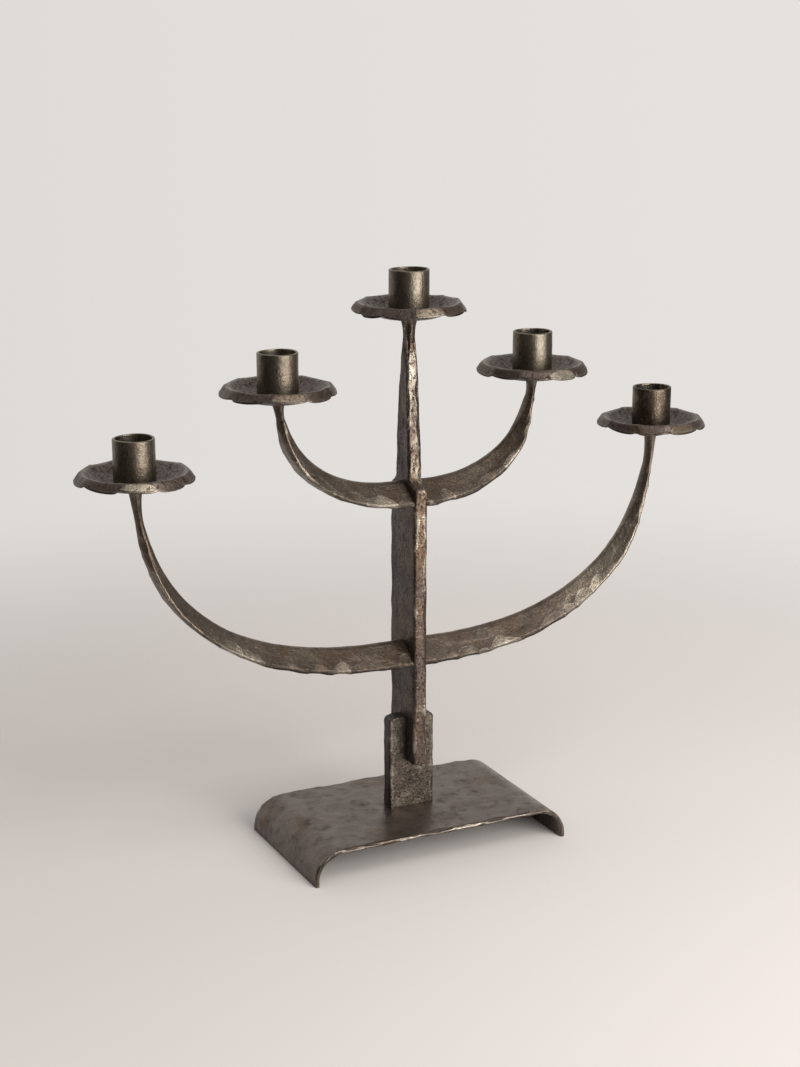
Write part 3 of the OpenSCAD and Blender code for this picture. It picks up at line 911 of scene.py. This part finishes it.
def pan_profile(z):
    """A pan's section as radii and heights, from the middle of its floor over the crest to the
    lip and back underneath, and which of its points are on the upper side."""
    s = np.linspace(0, 1, 40)
    # How far the lip has dropped: level at first, then a steep straight band
    level = 0.28
    dropped = np.maximum(s - level, 0) / (1 - level)
    lip = [between(z.pan_crest, z.pan_radius, s), z.pan_depth - z.lip_drop * dropped]
    top = np.concatenate([
        np.stack([np.linspace(0.03, 0.97, 10) * z.pan_floor, np.zeros(10)], 1),
        np.stack([between(z.pan_floor, z.pan_crest, s), z.pan_depth * s ** 1.6], 1)[::2],
        np.stack(lip, 1)[3::2],
    ])
    # Even steps along the profile, blurred, give the crest its soft roll
    run = lengths_along(top)
    even = np.linspace(0, run[-1], 64)
    top = np.stack([np.interp(even, run, top[:, n]) for n in (0, 1)], 1)
    for _ in range(14):
        top[1:-1] = 0.5 * top[1:-1] + 0.25 * (top[:-2] + top[2:])
    run = np.gradient(top, axis=0)
    run /= np.linalg.norm(run, axis=1, keepdims=True)
    # The sheet is forged thinner towards its edge, which is rounded
    thick = z.pan_sheet * (1 - 0.4 * smooth(top[:, 0], z.pan_crest, z.pan_radius))
    below = top + np.stack([run[:, 1], -run[:, 0]], 1) * thick[:, None]
    middle, last = (top[-1] + below[-1]) / 2, run[-1]
    normal = np.array([-last[1], last[0]])
    edge = np.array([
        middle + thick[-1] / 2 * (np.cos(q) * normal + 0.6 * np.sin(q) * last)
        for q in np.radians([25.0, 60.0, 90.0, 120.0, 155.0])
    ])
    profile = np.concatenate([top, edge, below[::-1]])
    return profile, np.arange(len(profile)) < len(top) + 2


def petal_place(petals, phase, angle, seed):
    """Where an angle in radians is in a pan's row of petals, whose widths differ by a sine."""
    return petals * (np.degrees(angle) + phase) / 360.0 + 0.12 * np.sin(angle * 2 + seed)


def choose_blows(petals, phase, bright):
    """The choice of blows that brings a pan nearest to the photograph.

    Of all choices it takes the one with the least miss: the weighted differences in brightness
    of the burnish and painted highlight for six petals, of which the fourth lies at the right
    front and is as bright as given, and how far that petal's middle is from there. Petals that
    differ in droop and slant count in a choice's favour.
    """
    seeds = np.arange(300, 6000)[:, None]
    place = petal_place(petals, phase, np.radians(RIGHT_FRONT), seeds)
    cell = np.floor(place)
    key = np.mod(cell + np.arange(-3, 3), petals)
    wanted = np.array([0.0, 0.0, 0.0, bright, 0.45, 0.3])
    weights = np.array([0.5, 0.8, 1.2, 3.0, 1.0, 1.0])
    miss = (np.abs(chance(key, key, seeds + 6) - wanted) * weights).sum(axis=1)
    miss = miss + 1.5 * np.abs(place - cell - 0.5)[:, 0]
    droop, slant = (2 * chance(key, key, seeds + n) - 1 for n in (1, 2))
    variety = np.abs(np.diff(droop, axis=1)).mean(axis=1) + np.abs(slant).mean(axis=1)
    return int(seeds[np.argmin(miss - 0.25 * variety), 0])


def pan(settings, name, iron):
    """One drip pan: its profile turned round its axis, with a blow for each petal of its lip and
    a notch between petals."""
    z, work, step = settings.sizes, settings.hammer, settings.sizes.step
    x, floor, _ = seat(name)
    petals, phase, bright = PETALS[name]
    seed = choose_blows(petals, phase, bright)
    profile, upper = pan_profile(z)
    r, height, upper = profile[:, :1], profile[:, 1:], upper[:, None]
    # How much of the lip's work each profile point takes: none inside the crest, all at the edge
    lip = smooth(r, z.pan_crest - 0.5 * MM, z.pan_radius)
    a = full_turn(int(2 * np.pi * z.pan_radius / step * 1.3))
    b = petal_place(petals, phase, a, seed)
    cell = np.floor(b)
    f = b - cell

    def petal_work(number, f):
        """A petal's lift and outward shift at a share f of its width: its own droop, slant and
        rounded ends."""
        key = np.mod(number, petals)
        droop, slant, out = (2 * chance(key, key, seed + n) - 1 for n in (1, 2, 3))
        bow = (2 * f - 1) ** 2
        lift = 0.7 * MM + 0.7 * MM * droop + 2.0 * MM * slant * (f - 0.5) + 0.6 * MM * bow
        shift = 0.3 * MM * (out - 1) - (0.35 + 0.3 * out) * MM * (1 - bow) - 0.3 * MM * bow ** 3
        return lift, shift

    # Next to a border the two petals meet half way
    side = np.where(f < 0.5, -1.0, 1.0)
    gap = np.minimum(f, 1 - f)
    own, other = petal_work(cell, f), petal_work(cell + side, f - side)
    meet = 0.5 * (1 - smooth(gap, 0.0, 0.1))
    lift, out = (between(mine, theirs, meet) for mine, theirs in zip(own, other))
    border = np.mod(np.round(b), petals)
    notch = np.exp(-(gap / 0.09) ** 1.3) * chance(border, border, seed + 9) ** 1.5
    notch = notch * lip * lip
    radius = r + lip * (out - notch * work.notch_in)
    height = height + lip * (lift + notch * work.notch_up)
    grid = np.stack([radius * np.cos(a), radius * np.sin(a), height], axis=2)
    normals = grid_normals(grid, rising=2)
    # One flat blow on each petal, and small ones in the dish
    key = np.mod(cell, petals)
    deep = 0.5 + 0.5 * chance(key, key, seed + 4)
    reach = (r - (z.pan_crest + 3.0 * MM)) / (5.5 * MM)
    blow = np.maximum(deep * (1 - ((f - 0.5) / 0.6) ** 2 - reach ** 2), 0)
    outwards = (lengths_along(profile) / (6 * MM))[:, None]
    ripple = blows(outwards, (a / (2 * np.pi) * 16)[None, :], 16, seed + 5)
    dent = blow * work.petal + ripple * 0.12 * MM * smooth(r, z.pan_floor, z.pan_crest)
    # The sheet keeps its thickness: the underside moves the way the top does
    grid = grid + normals * (dent * np.where(upper, -1.0, 0.8))[:, :, None]
    # Paler along the crest, partly burnish and partly a painted highlight, and burnished at the
    # lip's tip
    rim = np.exp(-((r - z.pan_crest + 0.3 * MM) / (1.8 * MM)) ** 2) * upper
    tip = smooth(r, z.pan_radius - 1.2 * MM, z.pan_radius - 0.3 * MM)
    # Each petal's own burnish and painted highlight, under an arch that rises to the crest in the
    # petal's middle
    arch = 1 - (2 * f - 1) ** 2
    grid = grid + np.array([x, 0, floor])
    made = tube_object("pan_%s_hammered" % name, grid, axis_poles(x, grid), {
        "wear_and_highlight": np.clip(0.4 * rim + 0.2 * tip, 0, 1),
        # The blows, and the whole upper side of the lip, which the iron makes browner and darker
        "dent": np.maximum(blow, 0.8 * lip * upper),
        "front": smooth(lip - 1.0 + 0.9 * arch, 0.0, 0.2) * chance(key, key, seed + 6) ** 2 * upper,
    })
    finish_piece(made, iron, "pan_iron", "pan_" + name)


def candle_socket(settings, name, steel):
    """One candle socket: a cup's profile with rounded rim edges, turned round its axis and
    made slightly uneven by a slow swell."""
    z = settings.sizes
    x, floor, rim = seat(name)
    seed, dull = SOCKETS[name]
    low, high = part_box("socket_" + name)
    outer, bore, h, base = (high.x - low.x) / 2, z.bore, rim - floor, z.socket_floor
    turn = np.radians(np.arange(0, 91, 15))
    # The rim's roundings, and the radii of the rivet's head and of its hole in the floor
    outside, inside, head, hole = 0.8 * MM, 0.5 * MM, 4.1 * MM, 1.95 * MM
    wall = np.linspace(0.4 * MM, h - outside, 34)
    profile = np.concatenate([
        [[1.9 * MM, 0.02 * MM], [outer - 1.2 * MM, 0.02 * MM], [outer - 0.3 * MM, 0.1 * MM]],
        np.stack([np.full_like(wall, outer), wall], 1),
        np.stack([outer - outside * (1 - np.cos(turn)), h - outside * (1 - np.sin(turn))], 1)[1:],
        np.stack([bore + inside * (1 - np.sin(turn)), h - inside * (1 - np.cos(turn))], 1),
        np.stack([np.full(20, bore), np.linspace(h - 1.2 * MM, base + 0.8 * MM, 20)], 1),
        [[bore - 0.2 * MM, base + 0.3 * MM], [bore - 0.8 * MM, base], [head, base]],
        [[head - 0.2 * MM, base - 0.2 * MM], [hole, base - 2 * MM]],
    ])
    a = full_turn(128)
    r, height = profile[:, :1], profile[:, 1:]
    uneven = swell(height / (9 * MM) + seed, a[None, :] / (2 * np.pi) * 7, 7, seed)
    skin = smooth(r, bore - 1 * MM, bore)
    radius = r - skin * 0.12 * MM * (1 + uneven) * (r > bore + 0.8 * MM)
    top = smooth(height, h - 4 * MM, h)
    lift = -top * 0.18 * MM * (1 + np.sin(2 * a + seed))
    grid = np.stack([x + radius * np.cos(a), radius * np.sin(a), floor + height + lift], axis=2)
    # A painted glint inside the bore, near its top
    inner = smooth(height, h - 9 * MM, h - 2 * MM) * (r < bore + 0.3 * MM)
    rim_wear = np.exp(-((height - h) / (0.7 * MM)) ** 2) * 0.12
    made = tube_object("socket_%s_turned" % name, grid, axis_poles(x, grid), {
        "wear_and_highlight": np.clip(np.maximum(rim_wear, inner * 0.9) * (0.6 + 0.4 * uneven), 0, 1),
        "dull": dull,
    })
    finish_piece(made, steel, "socket_steel", "socket_" + name)


def floor_disc(settings):
    """A round floor of rings and spokes, which fades out into the background."""
    look, spokes = settings.studio, 96
    r = np.concatenate([np.linspace(0.02, 1, 30), np.linspace(1.1, 3.2, 20)])[:, None]
    a = full_turn(spokes)
    rings = np.stack([r * np.cos(a), r * np.sin(a), 0 * r * a], axis=2)
    verts = np.concatenate([rings.reshape(-1, 3), [[0, 0, 0]]])
    fan = [(len(verts) - 1, n, (n + 1) % spokes) for n in range(spokes)]
    mesh = bpy.data.meshes.new("floor")
    mesh.from_pydata(verts.tolist(), [], grid_quads(len(r), spokes).tolist() + fan)
    disc = new_object("floor", mesh)
    paint = Paint(bpy.data.materials.new("floor_paint"))
    away = paint.node(
        "ShaderNodeVectorMath", {"operation": "LENGTH"}, {0: paint.place}, output="Value"
    )
    cloud = paint.noise(60 * MM, 3.0, 0.5)
    # Painted shade: the floor is darker towards the left, with faint clouds
    across = paint.part(paint.place, "X")
    shade = (cloud * 0.08 + (1 - across.above(-0.35, 0.3))).clamped()
    tint = paint.mix(shade, look.floor, dimmed(look.floor, 0.92))
    inputs = {"Base Color": tint, "Roughness": 0.75, "Specular IOR Level": 0.2}
    plain = paint.node("ShaderNodeBsdfPrincipled", inputs=inputs)
    clear = paint.node("ShaderNodeBsdfTransparent")
    fade = {0: away.above(0.3, 1.0), 1: plain, 2: clear}
    shader = paint.node("ShaderNodeMixShader", inputs=fade)
    paint.node("ShaderNodeOutputMaterial", inputs={"Surface": shader})
    disc.data.materials.append(paint.owner)


def studio_world(settings):
    """A pale background for the camera, a plain dimmer one for the light between surfaces, and
    for the iron to mirror a room that is pale behind and to the right and dim at the front left,
    which gives the metal its dark sides."""
    world = bpy.data.worlds.new("studio")
    bpy.context.scene.world = world
    paint = Paint(world, "Generated")
    x, y, z = (paint.part(paint.place, axis) for axis in "XYZ")
    behind, right = y.above(0.25, 0.8), x.above(-0.1, 0.8)
    ceiling = z.above(0.35, 0.8) * (x.above(-0.3, 0.3) * 0.1 + 0.55)
    back = z.above(0.1, 0.6) * y.above(-0.1, 0.45) * 0.6
    pale = settings.studio.wall
    # The background that the camera sees is painted darker towards the left, a painted shade
    wall = paint.mix(x.above(-0.5, 0.75), dimmed(pale, 0.80), pale)
    room = (behind * 0.9 + right * 0.2 + ceiling + back).clamped()
    room = paint.mix(room, (0.035, 0.032, 0.031), (0.84, 0.805, 0.77))
    mirrored, seen = (
        paint.node("ShaderNodeLightPath", output="Is %s Ray" % kind)
        for kind in ("Glossy", "Camera")
    )
    tint = paint.mix(seen, paint.mix(mirrored, dimmed(pale, 0.62), room), wall)
    shader = paint.node("ShaderNodeBackground", inputs={"Color": tint, "Strength": 1.0})
    paint.node("ShaderNodeOutputWorld", inputs={"Surface": shader})


def aim(made, place, target):
    """Sets a lamp or the camera at a place, turned to a target."""
    place, target = Vector(place), Vector(target)
    made.location = place
    made.rotation_euler = (target - place).to_track_quat("-Z", "Y").to_euler()


def area_light(name, place, target, size, power):
    """A soft rectangular lamp at a place, turned to a target."""
    lamp = bpy.data.lights.new(name, "AREA")
    lamp.shape, lamp.size, lamp.size_y = "RECTANGLE", *size
    lamp.energy, lamp.color = power, LAMP_TINT
    aim(new_object(name, lamp), place, target)


def camera(settings):
    """The camera at the photograph's place and angle."""
    look = settings.studio
    data = bpy.data.cameras.new("camera")
    data.sensor_fit, data.sensor_width, data.sensor_height = "AUTO", 36.0, 36.0
    data.lens = look.lens
    data.clip_start, data.clip_end = 0.02, 50.0
    made = new_object("camera", data)
    aim(made, look.camera, look.target)
    bpy.context.scene.camera = made


class BuildFoot(bpy.types.Operator):
    """Builds the foot plate and the bracket that stands on it."""

    bl_idname = "candle_holder.foot"
    bl_label = "Foot plate and bracket"

    def execute(self, context):
        base_plate(context.scene.candle_holder)
        foot_bracket(context.scene.candle_holder)
        return {"FINISHED"}


class BuildStem(bpy.types.Operator):
    """Builds the flat bar stem with its shank and neck."""

    bl_idname = "candle_holder.stem"
    bl_label = "Stem"

    def execute(self, context):
        stem(context.scene.candle_holder)
        return {"FINISHED"}


class BuildArms(bpy.types.Operator):
    """Builds the two pairs of ridged arms."""

    bl_idname = "candle_holder.arms"
    bl_label = "Arms"

    def execute(self, context):
        settings = context.scene.candle_holder
        z = settings.sizes
        # The arms' iron is painted with a shade where the mesh says front
        iron = forged_iron(
            "arm_iron", settings, settings.colours.arms,
            brown_share=0.8, pitting=0.4, wear_and_highlight=1.0, grain=0.8, front_shade=0.9,
        )
        for pair, base, run, rise, sag in (
            ("lower_arm", z.lower_arm_z, z.lower_run, z.lower_rise, z.lower_sag),
            ("upper_arm", z.upper_arm_z, z.upper_run, z.upper_rise, z.upper_sag),
        ):
            for side in ("_left", "_right"):
                arm(settings, pair + side, base, run, rise, sag, iron)
        return {"FINISHED"}


class BuildPans(bpy.types.Operator):
    """Builds the five hammered drip pans."""

    bl_idname = "candle_holder.pans"
    bl_label = "Drip pans"

    def execute(self, context):
        settings = context.scene.candle_holder
        # The petals' burnish is painted with a highlight where the mesh says front
        iron = forged_iron(
            "pan_iron", settings, settings.colours.pans,
            brown_share=0.35, pitting=0.9, wear_and_highlight=0.9, front=0.75, grain=1.5, calm=0.7,
        )
        for name in PETALS:
            pan(settings, name, iron)
        return {"FINISHED"}


class BuildSockets(bpy.types.Operator):
    """Builds the five candle sockets and finishes the rivets in their floors."""

    bl_idname = "candle_holder.sockets"
    bl_label = "Candle sockets"

    def execute(self, context):
        settings = context.scene.candle_holder
        steel = socket_steel(settings)
        for name in SOCKETS:
            candle_socket(settings, name, steel)
            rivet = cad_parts["rivet_" + name]
            rivet.data.materials.clear()
            rivet.data.materials.append(steel)
        return {"FINISHED"}


class BuildStudio(bpy.types.Operator):
    """Builds the floor, the lights, the background and the camera."""

    bl_idname = "candle_holder.studio"
    bl_label = "Studio"

    def execute(self, context):
        settings = context.scene.candle_holder
        context.scene.view_settings.view_transform = "Standard"
        floor_disc(settings)
        studio_world(settings)
        power = settings.studio.key_power
        area_light("key_light", (0.56, -1.50, 0.45), (0, 0, 0.26), (1.3, 1.5), power)
        area_light("upper_light", (0.32, -1.15, 1.7), (0, 0, 0.3), (1.2, 0.9), power * 0.28)
        camera(settings)
        return {"FINISHED"}


class HolderPanel(bpy.types.Panel):
    """Lists the steps that build the candle holder."""

    bl_idname = "CANDLE_HOLDER_PT_build"
    bl_label = "Candle holder"
    bl_space_type = "VIEW_3D"
    bl_region_type = "UI"
    bl_category = "Candle holder"

    def draw(self, context):
        for step in STEPS:
            self.layout.operator(step.bl_idname)


STEPS = (BuildFoot, BuildStem, BuildArms, BuildPans, BuildSockets, BuildStudio)
CLASSES = (HolderSizes, HammerWork, IronColours, StudioLook, HolderSettings, *STEPS, HolderPanel)


def register():
    """Makes the settings, operators and panel known."""
    for kind in CLASSES:
        bpy.utils.register_class(kind)
    bpy.types.Scene.candle_holder = PointerProperty(type=HolderSettings)


def unregister():
    """Takes the settings, operators and panel away again."""
    del bpy.types.Scene.candle_holder
    for kind in reversed(CLASSES):
        bpy.utils.unregister_class(kind)


def main():
    """Builds everything in order."""
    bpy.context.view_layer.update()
    register()
    for part in ("foot", "stem", "arms", "pans", "sockets", "studio"):
        if getattr(bpy.ops.candle_holder, part)() != {"FINISHED"}:
            raise RuntimeError("the step %s didn't finish" % part)


if __name__ == "__main__":
    main()
